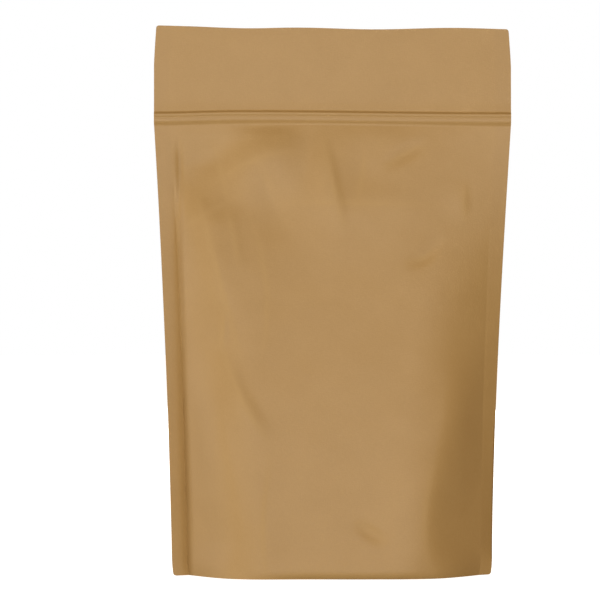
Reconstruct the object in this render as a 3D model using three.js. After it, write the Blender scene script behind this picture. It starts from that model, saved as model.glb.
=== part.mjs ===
// A stand-up pouch of flour, shut and full, made of brown paper film.
//
// Two film panels are welded along the sides. A folded gusset joins them below, a press-to-close zip
// runs across above the flour, and a flat header stands over the zip. It is one welded piece, so it is
// one solid. +Z is up, the front faces -Y, and the origin is on the floor under the middle.
//
// The film bends but does not stretch. The flour pushes the panels apart, the side seams draw in, and the
// film that is left over stands in folds.

import * as THREE from 'three';

// Driving dimensions, in millimetres
const FLAT_WIDTH = 170;
const HEIGHT = 260.2;
const SEAL_WIDTH = 8;
const FILM_PAIR = 0.6;
const ZIP_HEIGHT = 218.1;
const NECK_HEIGHT = 215;
const BASE_SWELL = 26;
const CORNER_RADIUS = 1.2;

// The side seams draw in by this much at the floor, and less towards the neck. The outline also narrows a
// little at the top edge and close to the floor.
const SEAM_DRAW = 8.8;
const SEAM_DRAW_POWER = 1.5;
const HEADER_TAPER = 1.15;
const HEADER_TAPER_START = 242;
const HEADER_TAPER_POWER = 1.2;
const FLOOR_TAPER = 0.7;
const FLOOR_TAPER_HEIGHT = 9;

// The filled face leans back by this much for each millimetre of height, then curves in to the neck
const FACE_LEAN = 0.06;
const SHOULDER_START = 40;
const NECK_FULLNESS = 1.1;

// Just under the zip the middle of each panel steps out, and the step dies away downwards and sideways
const NECK_STEP = 2.8;
const NECK_STEP_RUN = 12;
const NECK_STEP_MIDDLE = 14;
const NECK_STEP_REACH = [0.15, 0.8];
const NECK_STEP_HEIGHTS = [162, 198];

// Level section. Low down it is a box: a flat face with a slight crown, a rounded ridge and a straight
// flank to the seam. Higher up the flank turns into a curve. Each of these values has a size at the floor
// and rises over a range of heights: from, to, by how much.
const FACE_CROWN = 2;
const FACE_FLAT = { floor: 0.42, rises: [[15, 60, 0.08]] };
const RIDGE = { floor: 0.8, rises: [[3, 18, -0.06], [30, 90, 0.08]] };
const RIDGE_ROUNDING = 0.28;
const FLANK_TURN = { floor: 0, rises: [[70, 125, 1]] };
const FLANK_START = { floor: 0.5, rises: [[105, 165, 0.2]] };
const CROWN_SHARE = { floor: 0.08, rises: [[120, 180, 0.7], [185, 215, 0.15]] };

// The closed zip pushes a band out of both films, with a faint groove where its halves meet. Its line is
// not quite straight, and it dips at its left end.
const ZIP_LOW_EDGE = [213.8, 216.6];
const ZIP_TOP_EDGE = [219.6, 221];
const ZIP_RELIEF = 1.25;
const ZIP_EASE = 0.4;
const ZIP_EASE_EDGE = [219.6, 226];
const ZIP_GROOVE = 0.25;
const ZIP_GROOVE_HALF_WIDTH = 0.5;
const ZIP_WAVE = 0.5;
const ZIP_WAVE_CREST = -40;
const ZIP_HALF_WAVE = 120;
const ZIP_END_DIP = 0.45;
const ZIP_END = [45, 80];
const BELOW_ZIP = [170, 212];
const ABOVE_ZIP = [224, 250];

// The header bends a little out of plane. Its top edge waves and rises at the left corner.
const HEADER_WAVE = 1;
const HEADER_WAVE_START = 25;
const HEADER_HALF_WAVE = 110;
const CORNER_LIFT = 1.2;
const CORNER_LIFT_FROM = [30, 68];
const TOP_EDGE_WAVE = 0.39;
const TOP_EDGE_CREST = -17;
const TOP_EDGE_HALF_WAVE = 37;

// The left side seal bends forward and the right one back, most at the floor. The left one does part of
// its bend close to the seam. A bent seal takes up less width, so the seam beside it stands further out.
const LEFT_SEAL_BEND = 3.5;
const LEFT_SEAL_POWER = 2;
const LEFT_SEAL_LOSS = 1;
const LEFT_STEEP_SHARE = 0.35;
const LEFT_STEEP_POWER = 4;
const RIGHT_SEAL_BEND = -6.4;
const RIGHT_SEAL_POWER = 1.3;
const RIGHT_SEAL_LOSS = 2.3;
const RIGHT_FLOOR_SHARE = 0.6;
const RIGHT_FLOOR_HEIGHT = 16;
const SEAL_LOSS_POWER = 4;

// High up on the left the panel falls back from its seam, and the fall fades towards the middle
const SEAM_STEP = { floor: 0, rises: [[135, 178, 2.6], [194, 212, -2.6]] };
const SEAM_STEP_RUN = 7;
const SEAM_STEP_FADE = [20, 56];

// The filled part is turned a little about the upright axis
const TWIST = 0.04;
const TWIST_START = [0, 40];
const TWIST_FADE = [110, 190];

// The lowest strip of each panel curls under, and the gusset is set up behind it
const CURL_HEIGHT = 4;
const CURL_DEPTH = 1.9;
const CURL_MIDDLE = 10;
const CURL_REACH = [0.3, 0.9];
const SKIRT_THICKNESS = 0.8;
const SKIRT_LIMIT = 0.25;
const GUSSET_SLOPE_RUN = 4;
const GUSSET_SLOPE_LIMIT = 0.2;
const GUSSET_RISE = 5;
const GUSSET_CORNER_RISE = 8;
const GUSSET_RISE_LIMIT = 0.4;
const GUSSET_FLAT_SHARE = 0.5;
const GUSSET_CORNER = [0.45, 0.85];

// Folds are bent lines across a panel: from, by way of, to, each as [x, z]. The film stands out by rise
// on the line, or sinks where rise is negative, and falls off over a width to either side.
const FRONT_FOLDS = [
  { path: [[-98, 147], [-62, 172], [-32, 187]], rise: 6.6, left: 20, right: 34 },
  { path: [[-62, 181], [-38, 203], [-12, 201]], rise: 4.3, left: 10, right: 15 },
  { path: [[-30, 177], [12, 178], [58, 175]], rise: 1.6, left: 10, right: 26 },
  { path: [[6, 160], [1, 184], [-6, 212]], rise: 1.2, left: 8, right: 3 },
  { path: [[10, 172], [16, 190], [15, 210]], rise: -1.2, left: 8, right: 18 },
  { path: [[22, 193], [34, 201], [46, 207]], rise: -1, left: 3, right: 3.5 },
  { path: [[62, 167], [62, 178], [62.5, 189]], rise: 0.7, left: 7, right: 2.4 },
  { path: [[33, 151], [44, 145.5], [52, 162]], rise: -1, left: 4.5, right: 3 },
  { path: [[-48, 168], [-51, 188], [-58, 210]], rise: -2, left: 20, right: 9 },
  { path: [[-40, 92], [-56, 150], [-66, 190]], rise: 0.7, left: 9, right: 5 },
  { path: [[-36, 92], [-22, 140], [-46, 186]], rise: 0.2, left: 10, right: 6 },
  { path: [[-43, 140], [-46, 160], [-52, 182]], rise: 0.45, left: 8, right: 3.5 },
  { path: [[-51.5, 106], [-52, 115], [-50.5, 128]], rise: 0.8, left: 5, right: 2 },
  { path: [[-27, 62], [-45, 80], [-52, 112]], rise: 1.3, left: 9, right: 4 },
  { path: [[-30, -4], [-36, 26], [-28, 60]], rise: 0.4, left: 10, right: 9 },
  { path: [[27, 17], [17, 21], [10, 28]], rise: -1.1, left: 3, right: 3 },
  { path: [[46, 4], [38, 26], [50, 62]], rise: 1.8, left: 16, right: 8 },
];
const BACK_FOLDS = [
  { path: [[-79, 184], [-60, 200], [-30, 213]], rise: 1.5, left: 9, right: 6 },
  { path: [[-74, 174], [-46, 190], [-8, 206]], rise: -1.5, left: 7, right: 8 },
  { path: [[14, 158], [18, 188], [6, 213]], rise: 1.6, left: 3.4, right: 8 },
  { path: [[78, 178], [58, 198], [34, 213]], rise: 1.4, left: 6, right: 9 },
  { path: [[44, 96], [56, 144], [64, 184]], rise: 1.5, left: 4, right: 9 },
  { path: [[36, 60], [52, 86], [52, 126]], rise: 1.4, left: 4, right: 9 },
  { path: [[-52, 40], [-40, 84], [-54, 134]], rise: 1.3, left: 8, right: 4 },
  { path: [[-24, 140], [-36, 152], [-52, 150]], rise: -1.1, left: 3, right: 5 },
  { path: [[-30, 16], [-16, 22], [-4, 31]], rise: 1.1, left: 3, right: 5 },
];
const FOLD_FADE_POWER = 1.3;

// The film is held at the seams and just under the zip, and the folds fade out there
const HELD_SEAM_POWER = 12;
const HELD_UNDER_ZIP = 6;

// Lattice steps. The columns stand closer together towards the seams, and the rows at the floor and the zip.
const PANEL_STEPS = 36;
const SEAL_STEPS = 2;
const FOLD_STEPS = 12;
const SEAM_CROWDING = 0.6;
const FLOOR_HEIGHTS = [0, CORNER_RADIUS, 3, 5.5, 9, 13];
const FACE_SPAN = [18, 156];
const FACE_ROWS = 25;
const SHOULDER_ROWS = 15;
const ZIP_ROWS = 2;
const HEADER_ROWS = 5;

const { clamp, lerp, smoothstep } = THREE.MathUtils;
const HALF_FILM = FILM_PAIR / 2;
const PANEL_HALF = FLAT_WIDTH / 2 - SEAL_WIDTH;
const ZIP_TOP = ZIP_HEIGHT + 3;

// A value at a height, from its size at the floor and its rises
function climbed(level, z) {
  return level.rises.reduce((sum, [from, to, amount]) => sum + amount * smoothstep(z, from, to), level.floor);
}

// A soft bump that is 1 at no distance and dies away over a width
function bell(distance, halfWidth) {
  return Math.exp(-((distance / halfWidth) ** 2));
}

// Half the distance between the side seams at a height
function seamAt(z) {
  const drawnIn = SEAM_DRAW * (1 - clamp(z / NECK_HEIGHT, 0, 1) ** SEAM_DRAW_POWER);
  const top = clamp((z - HEADER_TAPER_START) / (HEIGHT - HEADER_TAPER_START), 0, 1);
  const floor = clamp(1 - z / FLOOR_TAPER_HEIGHT, 0, 1);
  return PANEL_HALF - drawnIn - HEADER_TAPER * top ** HEADER_TAPER_POWER - FLOOR_TAPER * floor ** 2;
}

// How far the middle of a panel stands out from the plane of the seams
function swellAt(z) {
  const climb = clamp((z - SHOULDER_START) / (NECK_HEIGHT - SHOULDER_START), 0, 1);
  return (BASE_SWELL - FACE_LEAN * z) * Math.max(Math.cos((Math.PI / 2) * climb), 0) ** NECK_FULLNESS;
}

// The smaller of two values, rounded where they cross
function softMin(a, b, rounding) {
  const overlap = Math.max(rounding - Math.abs(a - b), 0) / rounding;
  return Math.min(a, b) - (overlap * overlap * rounding) / 4;
}

// Share of the swell at a place across the panel, from 1 in the middle to 0 at the seam
function sectionAt(across, z) {
  const ridge = climbed(RIDGE, z);
  const flat = climbed(FACE_FLAT, z);
  const face = 1 - FACE_CROWN * Math.max(across - flat, 0) ** 2;
  const atRidge = 1 - FACE_CROWN * (ridge - flat) ** 2;
  const flank = (atRidge * (1 - across)) / (1 - ridge);
  const boxy = softMin(face, flank, RIDGE_ROUNDING);
  const crown = climbed(CROWN_SHARE, z);
  const start = climbed(FLANK_START, z);
  const pastStart = Math.max(across - start, 0) / (1 - start);
  const curved = 1 - crown * across ** 2 - (1 - crown) * pastStart ** 2;
  return Math.max(lerp(boxy, curved, climbed(FLANK_TURN, z)), 0);
}

// Turns a list of folds into lines of points that can be measured from
function traceFolds(folds) {
  return folds.map(({ path, ...shape }) => {
    const [from, via, to] = path.map(([x, z]) => new THREE.Vector2(x, z));
    return { ...shape, points: new THREE.QuadraticBezierCurve(from, via, to).getPoints(FOLD_STEPS) };
  });
}

// What one fold adds to the film at a place
function foldRise(fold, place) {
  let nearest = Infinity;
  let along = 0;
  let turn = 0;
  for (let step = 0; step < FOLD_STEPS; step += 1) {
    const start = fold.points[step];
    const run = fold.points[step + 1].clone().sub(start);
    const offset = place.clone().sub(start);
    const share = clamp(offset.dot(run) / run.lengthSq(), 0, 1);
    const gap = offset.addScaledVector(run, -share);
    if (gap.length() < nearest) {
      nearest = gap.length();
      along = (step + share) / FOLD_STEPS;
      turn = run.cross(gap);
    }
  }
  const width = turn > 0 ? fold.left : fold.right;
  return fold.rise * Math.sin(Math.PI * along) ** FOLD_FADE_POWER * bell(nearest, width);
}

// The band of the closed zip, which eases off above its upper edge
function zipRelief(z) {
  const band = smoothstep(z, ...ZIP_LOW_EDGE) * (1 - smoothstep(z, ...ZIP_TOP_EDGE));
  const ease = smoothstep(z, ZIP_LOW_EDGE[1], ZIP_TOP_EDGE[0]) * (1 - smoothstep(z, ...ZIP_EASE_EDGE));
  return ZIP_RELIEF * band + ZIP_EASE * ease - ZIP_GROOVE * bell(z - ZIP_HEIGHT, ZIP_GROOVE_HALF_WIDTH);
}

// How far the film steps out under the zip
function neckStep(x, z) {
  const below = Math.max(NECK_HEIGHT - z, 0);
  const offMiddle = Math.abs(x - NECK_STEP_MIDDLE) / seamAt(z);
  const sideways = 1 - smoothstep(offMiddle, ...NECK_STEP_REACH);
  return NECK_STEP * (1 - Math.exp(-below / NECK_STEP_RUN)) * sideways * smoothstep(z, ...NECK_STEP_HEIGHTS);
}

// How far a panel's lowest strip curls under
function floorCurl(x, z) {
  const offMiddle = Math.abs(x - CURL_MIDDLE) / seamAt(z);
  return CURL_DEPTH * Math.max(1 - z / CURL_HEIGHT, 0) ** 2 * (1 - smoothstep(offMiddle, ...CURL_REACH));
}

// How far one panel's outer face stands from the plane of the seams
function panelDepth(x, z, folds) {
  const across = Math.min(Math.abs(x) / seamAt(z), 1);
  const place = new THREE.Vector2(x, z);
  const folded = folds.reduce((sum, fold) => sum + foldRise(fold, place), 0);
  const free = (1 - across ** HELD_SEAM_POWER) * smoothstep(NECK_HEIGHT - z, 0, HELD_UNDER_ZIP);
  const filled = swellAt(z) * sectionAt(across, z) + neckStep(x, z) + folded * free - floorCurl(x, z);
  return HALF_FILM + Math.max(filled, 0) + zipRelief(z);
}

// How free a side seal is to bend, from 1 at the floor to 0 at the neck
function sealFreedom(x, z) {
  return 1 - clamp(z / NECK_HEIGHT, 0, 1) ** (x < 0 ? LEFT_SEAL_POWER : RIGHT_SEAL_POWER);
}

// How far forward a side seal has bent at a share of the way from the seam to its outer edge
function sealBend(x, z, outside) {
  if (x < 0) {
    const steep = 1 - (1 - outside) ** LEFT_STEEP_POWER;
    return LEFT_SEAL_BEND * sealFreedom(x, z) * lerp(outside, steep, LEFT_STEEP_SHARE);
  }
  const offFloor = lerp(RIGHT_FLOOR_SHARE, 1, smoothstep(z, 0, RIGHT_FLOOR_HEIGHT));
  return RIGHT_SEAL_BEND * offFloor * sealFreedom(x, z) * outside;
}

// Where a place across the flat film ends up once the seal beside it has bent
function letOut(x, z) {
  const loss = (x < 0 ? -LEFT_SEAL_LOSS : RIGHT_SEAL_LOSS) * sealFreedom(x, z);
  const outside = clamp((Math.abs(x) - seamAt(z)) / SEAL_WIDTH, 0, 1);
  const across = Math.min(Math.abs(x) / seamAt(z), 1);
  return x + loss * across ** SEAL_LOSS_POWER * (1 - outside);
}

// How far the panel falls back beside its left seam
function leftSeamStep(x, z) {
  const inside = Math.max(seamAt(z) + x, 0);
  const fallen = (1 - Math.exp(-inside / SEAM_STEP_RUN)) * (1 - smoothstep(inside, ...SEAM_STEP_FADE));
  return climbed(SEAM_STEP, z) * fallen;
}

// How far both films together stand back from the plane of the seams
function sharedBend(x, z) {
  const wave = Math.sin((Math.PI * (x - HEADER_WAVE_START)) / HEADER_HALF_WAVE);
  const header = HEADER_WAVE * smoothstep(z, ZIP_TOP, HEIGHT) * wave;
  const outside = clamp((Math.abs(x) - seamAt(z)) / SEAL_WIDTH, 0, 1);
  const twist = TWIST * x * smoothstep(z, ...TWIST_START) * (1 - smoothstep(z, ...TWIST_FADE));
  return header - sealBend(x, z, outside) + leftSeamStep(x, z) + twist;
}

// The height of a place once the zip line and the top edge have waved
function liftedHeight(x, z) {
  const nearZip = smoothstep(z, ...BELOW_ZIP) * (1 - smoothstep(z, ...ABOVE_ZIP));
  const zipWave = ZIP_WAVE * Math.cos((Math.PI * (x - ZIP_WAVE_CREST)) / ZIP_HALF_WAVE);
  const zipLine = (zipWave - ZIP_END_DIP * smoothstep(-x, ...ZIP_END)) * nearZip;
  const edgeWave = TOP_EDGE_WAVE * Math.cos((Math.PI * (x - TOP_EDGE_CREST)) / TOP_EDGE_HALF_WAVE);
  const cornerLift = CORNER_LIFT * smoothstep(-x, ...CORNER_LIFT_FROM);
  return z + zipLine + (edgeWave + cornerLift) * smoothstep(z, ZIP_TOP, HEIGHT);
}

// Heights of the lattice rows, closer together where the form turns quickly
function rowHeights() {
  const span = (from, to, count) => Array.from({ length: count }, (_, i) => from + ((to - from) * i) / count);
  const [faceFrom, faceTo] = FACE_SPAN;
  const [zipFoot, zipFace] = ZIP_LOW_EDGE;
  const [zipBrow, zipEnd] = ZIP_TOP_EDGE;
  const easeEnd = ZIP_EASE_EDGE[1];
  return [
    ...FLOOR_HEIGHTS,
    ...span(faceFrom, faceTo, FACE_ROWS),
    ...span(faceTo, zipFoot, SHOULDER_ROWS),
    ...span(zipFoot, zipFace, ZIP_ROWS),
    ...span(zipFace, ZIP_HEIGHT, ZIP_ROWS),
    ...span(ZIP_HEIGHT, zipBrow, ZIP_ROWS),
    zipBrow,
    ...span(zipEnd, easeEnd, ZIP_ROWS),
    ...span(easeEnd, HEIGHT - CORNER_RADIUS, HEADER_ROWS),
    HEIGHT - CORNER_RADIUS,
    HEIGHT,
  ];
}

// How far the rounded outer corners stand in from the edge
function cornerInset(z) {
  const reach = Math.max(CORNER_RADIUS - Math.min(z, HEIGHT - z), 0);
  return CORNER_RADIUS - Math.sqrt(CORNER_RADIUS ** 2 - reach ** 2);
}

// Places across a row of flat film, from the left edge to the right: seal, panel, seal
function columnPlaces(z) {
  const seam = seamAt(z);
  const seal = SEAL_WIDTH - cornerInset(z);
  const places = [];
  for (let step = 0; step < SEAL_STEPS; step += 1) {
    places.push(-seam - seal * (1 - step / SEAL_STEPS));
  }
  for (let step = 0; step <= PANEL_STEPS; step += 1) {
    const even = (2 * step) / PANEL_STEPS - 1;
    places.push(seam * lerp(even, Math.sin((Math.PI / 2) * even), SEAM_CROWDING));
  }
  for (let step = 1; step <= SEAL_STEPS; step += 1) {
    places.push(seam + (seal * step) / SEAL_STEPS);
  }
  return places;
}

// The gusset seen from below, from the front edge to the back edge of one column: the skirt's rim, the
// slope behind it, and the flat that the flour presses onto the floor
function gussetPoints(front, back, across) {
  const middle = (front.y + back.y) / 2;
  const half = (back.y - front.y) / 2;
  const skirt = Math.min(SKIRT_THICKNESS, half * SKIRT_LIMIT);
  const slopeRun = Math.min(GUSSET_SLOPE_RUN, half * GUSSET_SLOPE_LIMIT);
  const cornerShare = smoothstep(across, ...GUSSET_CORNER);
  const rise = Math.min(GUSSET_RISE + GUSSET_CORNER_RISE * cornerShare, half * GUSSET_RISE_LIMIT);
  const rim = half - skirt;
  const section = [
    [-rim, 0],
    [slopeRun - rim, rise],
    [-half * GUSSET_FLAT_SHARE, rise * cornerShare],
    [0, rise * cornerShare],
    [half * GUSSET_FLAT_SHARE, rise * cornerShare],
    [rim - slopeRun, rise],
    [rim, 0],
  ];
  return section.map(([y, z]) => new THREE.Vector3(front.x, middle + y, z));
}

// Closed skin over the rows, with the top edge and the gusset filled in
function pouchGeometry() {
  const frontFolds = traceFolds(FRONT_FOLDS);
  const backFolds = traceFolds(BACK_FOLDS);
  const points = [];
  const triangles = [];
  const add = (point) => points.push(point) - 1;
  const quad = (a, b, c, d) => triangles.push([a, b, c], [a, c, d]);

  const rows = rowHeights().map((z) => {
    const fronts = [];
    const backs = [];
    for (const x of columnPlaces(z)) {
      const sideways = letOut(x, z);
      const bend = sharedBend(x, z);
      const height = liftedHeight(x, z);
      fronts.push(add(new THREE.Vector3(sideways, bend - panelDepth(x, z, frontFolds), height)));
      backs.push(add(new THREE.Vector3(sideways, bend + panelDepth(x, z, backFolds), height)));
    }
    return { fronts, backs };
  });
  const last = rows[0].fronts.length - 1;

  for (let row = 0; row + 1 < rows.length; row += 1) {
    const below = rows[row];
    const above = rows[row + 1];
    for (let column = 0; column < last; column += 1) {
      quad(below.fronts[column], below.fronts[column + 1], above.fronts[column + 1], above.fronts[column]);
      quad(below.backs[column + 1], below.backs[column], above.backs[column], above.backs[column + 1]);
    }
    quad(below.fronts[last], below.backs[last], above.backs[last], above.fronts[last]);
    quad(below.backs[0], below.fronts[0], above.fronts[0], above.backs[0]);
  }

  const top = rows[rows.length - 1];
  for (let column = 0; column < last; column += 1) {
    quad(top.fronts[column], top.fronts[column + 1], top.backs[column + 1], top.backs[column]);
  }

  const floor = rows[0];
  const strips = floor.fronts.map((front, column) => {
    const back = floor.backs[column];
    const across = Math.abs(points[front].x) / seamAt(0);
    const inPanel = column > SEAL_STEPS && column < last - SEAL_STEPS;
    const between = inPanel ? gussetPoints(points[front], points[back], across).map(add) : [];
    return [front, ...between, back];
  });
  for (let column = 0; column < last; column += 1) {
    joinStrips(strips[column], strips[column + 1], triangles);
  }

  const geometry = new THREE.BufferGeometry().setFromPoints(points);
  geometry.setIndex(triangles.flat());
  geometry.computeVertexNormals();
  return geometry;
}

// Fills between two neighbouring strips of the base, which may have different numbers of points
function joinStrips(left, right, triangles) {
  let l = 0;
  let r = 0;
  while (l + 1 < left.length || r + 1 < right.length) {
    const leftNext = (l + 1) / (left.length - 1);
    const rightNext = (r + 1) / (right.length - 1);
    if (r + 1 >= right.length || (l + 1 < left.length && leftNext <= rightNext)) {
      triangles.push([left[l], left[l + 1], right[r]]);
      l += 1;
    } else {
      triangles.push([left[l], right[r + 1], right[r]]);
      r += 1;
    }
  }
}

const kraftPaperFilm = new THREE.MeshStandardMaterial({ color: 0xb59061, roughness: 0.72, metalness: 0 });

const pouch = new THREE.Mesh(pouchGeometry(), kraftPaperFilm);
pouch.name = 'pouch';

const flourPouch = new THREE.Group();
flourPouch.add(pouch);

export default flourPouch;
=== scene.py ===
# %% [markdown]
# # A stand-up pouch of flour
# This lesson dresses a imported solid, a shut pouch of brown paper film, for a studio picture. The solid
# already has the right size and place. It stays where it is for collision, and a finer skin stands in for
# it in the picture. Everything here is in the same frame: +Z is up, the front faces -Y, and the origin is
# on the floor under the middle of the pouch.

# %% Load the frame
import math
from collections import namedtuple

import bpy
import numpy as np
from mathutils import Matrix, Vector


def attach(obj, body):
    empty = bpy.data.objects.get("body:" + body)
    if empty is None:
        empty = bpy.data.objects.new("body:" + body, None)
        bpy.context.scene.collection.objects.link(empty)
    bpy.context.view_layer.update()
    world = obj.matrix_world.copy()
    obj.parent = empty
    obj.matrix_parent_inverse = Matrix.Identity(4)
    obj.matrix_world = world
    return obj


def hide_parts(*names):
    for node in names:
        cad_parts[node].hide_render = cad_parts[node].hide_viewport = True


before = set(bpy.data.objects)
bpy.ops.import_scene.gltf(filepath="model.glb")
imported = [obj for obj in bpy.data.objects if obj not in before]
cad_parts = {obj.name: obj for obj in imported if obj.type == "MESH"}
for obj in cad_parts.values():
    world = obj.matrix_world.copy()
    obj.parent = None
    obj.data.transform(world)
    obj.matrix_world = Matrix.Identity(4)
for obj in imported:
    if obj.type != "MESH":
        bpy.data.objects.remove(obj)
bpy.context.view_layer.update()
scene = bpy.context.scene

# %% [markdown]
# ## The camera
# The picture was taken straight on, with a long lens from a good stride away. An orthographic camera would
# come close, but the lower edge of the front hangs a little below the ends of the seams, because it is
# nearer, and that tells how far away the camera stood. The pouch stands a little right of the middle, which
# a small lens shift gives without turning the camera.

# %% Set up the camera
MILLIMETRE = 0.001
IMAGE_PIXELS = 600
HEADER_PIXELS = 357
FLAT_WIDTH = 170
PIXEL = FLAT_WIDTH / HEADER_PIXELS * MILLIMETRE
CAMERA_DISTANCE = 1.52
FLOOR_ROW = 575
POUCH_COLUMN = 332.5
SENSOR = 36
UPRIGHT = math.radians(90)

camera_data = bpy.data.cameras.new("camera")
camera_data.sensor_width = SENSOR
camera_data.lens = SENSOR * CAMERA_DISTANCE / (IMAGE_PIXELS * PIXEL)
camera_data.shift_x = (IMAGE_PIXELS / 2 - POUCH_COLUMN) / IMAGE_PIXELS
camera = bpy.data.objects.new("camera", camera_data)
camera.location = (0, -CAMERA_DISTANCE, (FLOOR_ROW - IMAGE_PIXELS / 2) * PIXEL)
camera.rotation_euler = (UPRIGHT, 0, 0)
scene.collection.objects.link(camera)
scene.camera = camera
print("lens", round(camera_data.lens), "mm, camera height", round(camera.location.z, 3), "m")

# %% [markdown]
# ## The form of the film
# A real pouch starts flat. When it is filled, the panels swell, the side seams draw in and the film that is
# left over stands in folds. A cloth simulation would find some folds, but not the ones in the picture. So
# the film is written as a height over the plane of the seams: a section that is boxy at the floor, times a
# swell that dies away at the neck, plus a list of folds. The sizes are in millimetres, and they are the
# solid's own.

# %% Sizes of the pouch
HEIGHT = 260.2
SEAL_WIDTH = 8
PANEL_HALF = FLAT_WIDTH / 2 - SEAL_WIDTH
NECK_HEIGHT = 215


def smooth(start, stop, value):
    """Rises softly from 0 at start to 1 at stop."""
    share = np.clip((value - start) / (stop - start), 0, 1)
    return share * share * (3 - 2 * share)


print("panel", 2 * PANEL_HALF, "mm wide between its seals, pouch", HEIGHT, "mm high")

# %% [markdown]
# ### Seams that draw in
# The film doesn't stretch, so the seams come closer together where the panels swell. They are furthest apart
# at the neck, and the pouch narrows again at the top edge and right at the floor. A list of measured points
# would do, but powers of the height keep the edges smooth.

# %% Draw in the seams
SEAM_DRAW = 8.8
SEAM_DRAW_POWER = 1.5
HEADER_TAPER = 1.15
HEADER_TAPER_START = 242
HEADER_TAPER_POWER = 1.2
FLOOR_TAPER = 0.7
FLOOR_TAPER_HEIGHT = 9


def seam_at(z):
    """Half the distance between the side seams."""
    drawn_in = SEAM_DRAW * (1 - np.clip(z / NECK_HEIGHT, 0, 1) ** SEAM_DRAW_POWER)
    top = np.clip((z - HEADER_TAPER_START) / (HEIGHT - HEADER_TAPER_START), 0, 1)
    floor = np.clip(1 - z / FLOOR_TAPER_HEIGHT, 0, 1)
    return PANEL_HALF - drawn_in - HEADER_TAPER * top**HEADER_TAPER_POWER - FLOOR_TAPER * floor**2


print("half width at floor and neck", seam_at(0.0) + SEAL_WIDTH, seam_at(NECK_HEIGHT) + SEAL_WIDTH)

# %% [markdown]
# ### Panels that swell
# The flour pushes the panels out most at the floor. The face leans back a little as it climbs, and from the
# shoulder on it bends in to the neck. A straight taper would show a kink at the shoulder, and a cosine
# starts without one.

# %% Swell of the panels
BASE_SWELL = 26
FACE_LEAN = 0.06
SHOULDER_START = 40
NECK_FULLNESS = 1.1


def swell_at(z):
    """How far the middle of a panel stands out from the plane of the seams."""
    climb = np.clip((z - SHOULDER_START) / (NECK_HEIGHT - SHOULDER_START), 0, 1)
    narrowing = np.clip(np.cos(math.pi / 2 * climb), 0, None) ** NECK_FULLNESS
    return (BASE_SWELL - FACE_LEAN * z) * narrowing


print("swell at the floor and at the shoulder", swell_at(0.0), swell_at(SHOULDER_START))

# %% [markdown]
# ### Box below, dome above
# Seen from above, the lower part is a box: a flat face, a rounded ridge and a straight flank to the seam. A
# soft minimum of face and flank rounds the ridge, which is the line where the front turns into shadow.
# Further up the flank turns into a curve, and near the neck the whole panel is a low dome. Most values below
# have a size at the floor and climb between two heights.

# %% Section across the pouch
FACE_FLAT = (0.42, ((15, 60, 0.08),))
FACE_CROWN = 2.0
RIDGE = (0.8, ((3, 18, -0.06), (30, 90, 0.08)))
RIDGE_ROUNDING = 0.28
FLANK_TURN = (0.0, ((70, 125, 1.0),))
FLANK_START = (0.5, ((105, 165, 0.2),))
CROWN_SHARE = (0.08, ((120, 180, 0.7), (185, 215, 0.15)))


def climbed(level, z):
    """A value at the floor, with its later rises: from one height, to another, by how much."""
    floor_value, rises = level
    return floor_value + sum(amount * smooth(start, stop, z) for start, stop, amount in rises)


def soft_min(a, b, rounding):
    """The smaller of two values, rounded where they cross."""
    overlap = np.clip(rounding - np.abs(a - b), 0, None) / rounding
    return np.minimum(a, b) - overlap**2 * rounding / 4


def section_at(across, z):
    """Share of the swell, from 1 in the middle to 0 at the seam."""
    ridge = climbed(RIDGE, z)
    flat = climbed(FACE_FLAT, z)
    face = 1 - FACE_CROWN * np.clip(across - flat, 0, None) ** 2
    at_ridge = 1 - FACE_CROWN * (ridge - flat) ** 2
    flank = at_ridge * (1 - across) / (1 - ridge)
    boxy = soft_min(face, flank, RIDGE_ROUNDING)
    crown = climbed(CROWN_SHARE, z)
    start = climbed(FLANK_START, z)
    past_start = np.clip(across - start, 0, None) / (1 - start)
    curved = 1 - crown * across**2 - (1 - crown) * past_start**2
    return np.clip(boxy + (curved - boxy) * climbed(FLANK_TURN, z), 0, None)


quarters = np.linspace(0, 1, 5)
print("section at the floor", section_at(quarters, np.zeros_like(quarters)).round(2))

# %% [markdown]
# ## The folds
# Each fold is a bent line with a rise, and a width on either side over which it dies away. A narrow side is
# a steep wall, which is where a fold looks dark. Sculpting by hand would give the same folds, but a list
# can be read, moved and measured. Its places are x and z in millimetres, and left is as seen along the line.
# The back has its own folds, so that it is not a mirror of the front.

# %% List the folds
Fold = namedtuple("Fold", "start via end rise left right")
FRONT_FOLDS = [
    Fold((-98, 147), (-62, 172), (-32, 187), 6.6, 20, 34),
    Fold((-62, 181), (-38, 203), (-12, 201), 4.3, 10, 15),
    Fold((-30, 177), (12, 178), (58, 175), 1.6, 10, 26),
    Fold((6, 160), (1, 184), (-6, 212), 1.2, 8, 3),
    Fold((10, 172), (16, 190), (15, 210), -1.2, 8, 18),
    Fold((22, 193), (34, 201), (46, 207), -1.0, 3, 3.5),
    Fold((62, 167), (62, 178), (62.5, 189), 0.7, 7, 2.4),
    Fold((33, 151), (44, 145.5), (52, 162), -1.0, 4.5, 3),
    Fold((-48, 168), (-51, 188), (-58, 210), -2.0, 20, 9),
    Fold((-40, 92), (-56, 150), (-66, 190), 0.7, 9, 5),
    Fold((-36, 92), (-22, 140), (-46, 186), 0.2, 10, 6),
    Fold((-43, 140), (-46, 160), (-52, 182), 0.45, 8, 3.5),
    Fold((-51.5, 106), (-52, 115), (-50.5, 128), 0.8, 5, 2),
    Fold((-27, 62), (-45, 80), (-52, 112), 1.3, 9, 4),
    Fold((-30, -4), (-36, 26), (-28, 60), 0.4, 10, 9),
    Fold((27, 17), (17, 21), (10, 28), -1.1, 3, 3),
    Fold((46, 4), (38, 26), (50, 62), 1.8, 16, 8),
]
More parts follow.
